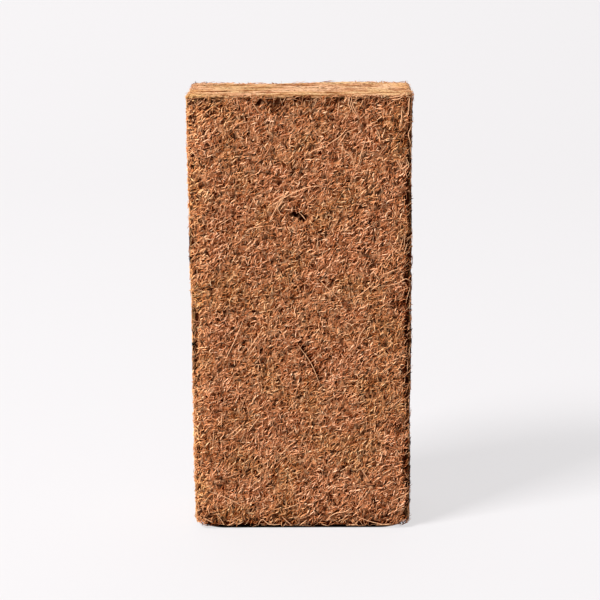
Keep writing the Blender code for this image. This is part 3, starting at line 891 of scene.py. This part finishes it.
def smooth_path(places):
    """More places along a path, on a smooth curve through those given."""
    ends = [2 * places[0] - places[1], *places, 2 * places[-1] - places[-2]]
    path = []
    for before, start, end, after in zip(ends, ends[1:], ends[2:], ends[3:]):
        for t in np.arange(STRAND_STEPS) / STRAND_STEPS:
            squared = 2 * before - 5 * start + 4 * end - after
            cubed = 3 * start - before - 3 * end + after
            path.append(0.5 * (2 * start + (end - before) * t + squared * t ** 2 + cubed * t ** 3))
    return path + [places[-1]]


def strand_curves():
    """Every named fibre as a thin cord with tapered ends, laid on the front of the skin."""
    skin_tree = BVHTree.FromPolygons([v.co for v in skin_mesh.vertices],
                                     [p.vertices for p in skin_mesh.polygons])
    curves = bpy.data.curves.new("long_fibres", "CURVE")
    curves.dimensions = "3D"
    curves.bevel_depth = STRAND_RADIUS
    curves.bevel_resolution = 0
    curves.use_fill_caps = True
    for name, places in STRANDS_MM.items():
        proud = STANDS_FURTHER_OUT.get(name, STRAND_PROUD)
        path = smooth_path([np.array(place) / 1000 for place in places])
        spline = curves.splines.new("POLY")
        spline.points.add(len(path) - 1)
        for i, (x, z) in enumerate(path):
            hit = skin_tree.ray_cast(Vector((x, -2 * HALF_DEPTH, z)), Vector((0, 1, 0)))[0]
            y = hit.y if hit else -HALF_DEPTH + 0.002
            spline.points[i].co = (x, y - proud, z, 1)
            spline.points[i].radius = 1 - 0.6 * abs(2 * i / (len(path) - 1) - 1) ** 3
    return curves


strands = new_piece("long_fibres_front", strand_curves())
strand_mesh = baked(strands)
bpy.data.objects.remove(strands)
within_reach(strand_mesh)
store(strand_mesh, "tone", np.full(len(strand_mesh.vertices), 0.9))
strand_mesh.materials.append(bristle_finish)
strands = new_piece("long_fibres_front", strand_mesh)
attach(strands, "root")

# The floor, the light and the camera
# A pale sheet of translucent plastic, lit from below too, so that shadows on it stay faint. A painted contact
# shadow darkens it under the foot and just round it. A soft key light stands at the upper left in front, with
# a faint fill beside the camera. The camera's place and lens are worked out from the photograph for a block of
# this size.

SHEET_HALF_WIDTH = 4.0
SHEET_FRONT = -3.0
SHEET_TOP = 3.0
SWEEP_START = 0.9
SWEEP_RADIUS = 0.6
SHEET_WHITE = "#FFFDFE"
SHEET_GREY = "#787677"
SHEET_GLOW = 0.665
FOOT_SHADE = "#1C120C"
FOOT_SHADE_REACH = 0.0006
FOOT_SHADE_INSET = 0.0030
FOOT_SHADE_CORNER = 0.0120
ROOM_WHITE = "#F6F8FC"
ROOM_LEFT = 0.30
ROOM_RIGHT = 0.05
ROOM_SEEN = 0.92
LENS_MM = 112.9
CAMERA_PLACE = Vector((0.00906, -0.83991, 0.30354))
CAMERA_RIGHT = Vector((0.99992777, 0.00983937, -0.00690234))
CAMERA_UP = Vector((0.00441916, 0.23307686, 0.97244828))
CAMERA_BACK = Vector((0.01117706, -0.97240854, 0.23301654))


def seamless_sheet():
    """A floor that curves up behind into a backdrop."""
    profile = [(SHEET_FRONT, 0.0), (SWEEP_START, 0.0)]
    for turn in np.linspace(0.1, math.pi / 2, 14):
        rise = SWEEP_RADIUS - SWEEP_RADIUS * math.cos(turn)
        profile.append((SWEEP_START + SWEEP_RADIUS * math.sin(turn), rise))
    profile.append((SWEEP_START + SWEEP_RADIUS, SHEET_TOP))
    bm = bmesh.new()
    rows = [[bm.verts.new((x, y, z)) for x in (-SHEET_HALF_WIDTH, SHEET_HALF_WIDTH)] for y, z in profile]
    for near, far in zip(rows, rows[1:]):
        bm.faces.new((near[0], near[1], far[1], far[0]))
    mesh = bpy.data.meshes.new("seamless_sheet")
    bm.to_mesh(mesh)
    bm.free()
    for polygon in mesh.polygons:
        polygon.use_smooth = True
    return mesh


sheet = new_piece("seamless_sheet", seamless_sheet())
paper, paper_tree, paper_shader = new_material("lit_plastic_sheet")
paper_shader.inputs["Emission Color"].default_value = linear(SHEET_WHITE)
on_floor = add_node(paper_tree, "ShaderNodeTexCoord").outputs["Object"]
# Painted shadow on the floor: no glow and a dark colour under the block's foot and just round it
beside = add_node(paper_tree, "ShaderNodeVectorMath", {"operation": "ABSOLUTE"}, {0: on_floor})
edge = FOOT_SHADE_INSET + FOOT_SHADE_CORNER
core = (HALF_WIDTH - edge, HALF_DEPTH - edge, 0)
past_core = add_node(paper_tree, "ShaderNodeVectorMath", {"operation": "SUBTRACT"}, {0: beside, 1: core})
outside = add_node(paper_tree, "ShaderNodeVectorMath", {"operation": "MAXIMUM"}, {0: past_core, 1: (0, 0, 0)})
away_from_foot = add_node(paper_tree, "ShaderNodeVectorMath", {"operation": "LENGTH"}, {0: outside})
glow = add_node(paper_tree, "ShaderNodeMapRange", {"interpolation_type": "SMOOTHSTEP"}, {
    "Value": away_from_foot.outputs["Value"], "From Min": FOOT_SHADE_CORNER - FOOT_SHADE_REACH / 2,
    "From Max": FOOT_SHADE_CORNER + FOOT_SHADE_REACH, "To Min": 0.0, "To Max": SHEET_GLOW})
open_floor = add_node(paper_tree, "ShaderNodeMath", {"operation": "DIVIDE"}, {0: glow, 1: SHEET_GLOW})
floor_colour = add_node(paper_tree, "ShaderNodeMix", {"data_type": "RGBA"},
                        {"Factor": open_floor, "A": linear(FOOT_SHADE), "B": linear(SHEET_GREY)})
paper_tree.links.new(glow.outputs[0], paper_shader.inputs["Emission Strength"])
paper_tree.links.new(floor_colour.outputs[2], paper_shader.inputs["Base Color"])
paper_shader.inputs["Roughness"].default_value = 0.9
paper_shader.inputs["Specular IOR Level"].default_value = 0.1
sheet.data.materials.append(paper)


def softbox(name, place, aim, size, power):
    """A square soft light that faces a point."""
    lamp = bpy.data.lights.new(name, "AREA")
    lamp.shape = "SQUARE"
    lamp.size = size
    lamp.energy = power
    light = bpy.data.objects.new(name, lamp)
    light.location = place
    light.rotation_euler = (Vector(aim) - Vector(place)).to_track_quat("-Z", "Y").to_euler()
    bpy.context.scene.collection.objects.link(light)


softbox("key_light", (-2.00, -1.50, 2.50), (0, 0, 0.1), 1.1, 194.0)
softbox("fill_light", (-0.30, -1.70, 0.90), (0, 0, 0.1), 1.5, 4.0)

# The room lights the block mostly from the left, and looks evenly pale where it is seen
world = bpy.data.worlds.new("studio")
bpy.context.scene.world = world
world.use_nodes = True
towards = add_node(world.node_tree, "ShaderNodeSeparateXYZ",
                   links={0: add_node(world.node_tree, "ShaderNodeTexCoord").outputs["Generated"]})
room_light = add_node(world.node_tree, "ShaderNodeMapRange", {"interpolation_type": "SMOOTHSTEP"}, {
    "Value": towards.outputs["X"], "From Min": -0.8, "From Max": 0.8,
    "To Min": ROOM_LEFT, "To Max": ROOM_RIGHT})
seen = add_node(world.node_tree, "ShaderNodeLightPath").outputs["Is Camera Ray"]
seen_or_lit = add_node(world.node_tree, "ShaderNodeMix", {"data_type": "FLOAT"},
                       {"Factor": seen, "A": room_light, "B": ROOM_SEEN})
room = world.node_tree.nodes["Background"]
room.inputs["Color"].default_value = linear(ROOM_WHITE)
world.node_tree.links.new(seen_or_lit.outputs[0], room.inputs["Strength"])

camera_data = bpy.data.cameras.new("camera")
camera_data.sensor_width = 36.0
camera_data.lens = LENS_MM
camera_data.clip_start = 0.01
camera = bpy.data.objects.new("camera", camera_data)
bpy.context.scene.collection.objects.link(camera)
axes = Matrix((CAMERA_RIGHT, CAMERA_UP, CAMERA_BACK)).transposed()
camera.matrix_world = Matrix.Translation(CAMERA_PLACE) @ axes.to_4x4()
bpy.context.scene.camera = camera
bpy.context.scene.view_settings.view_transform = "Standard"
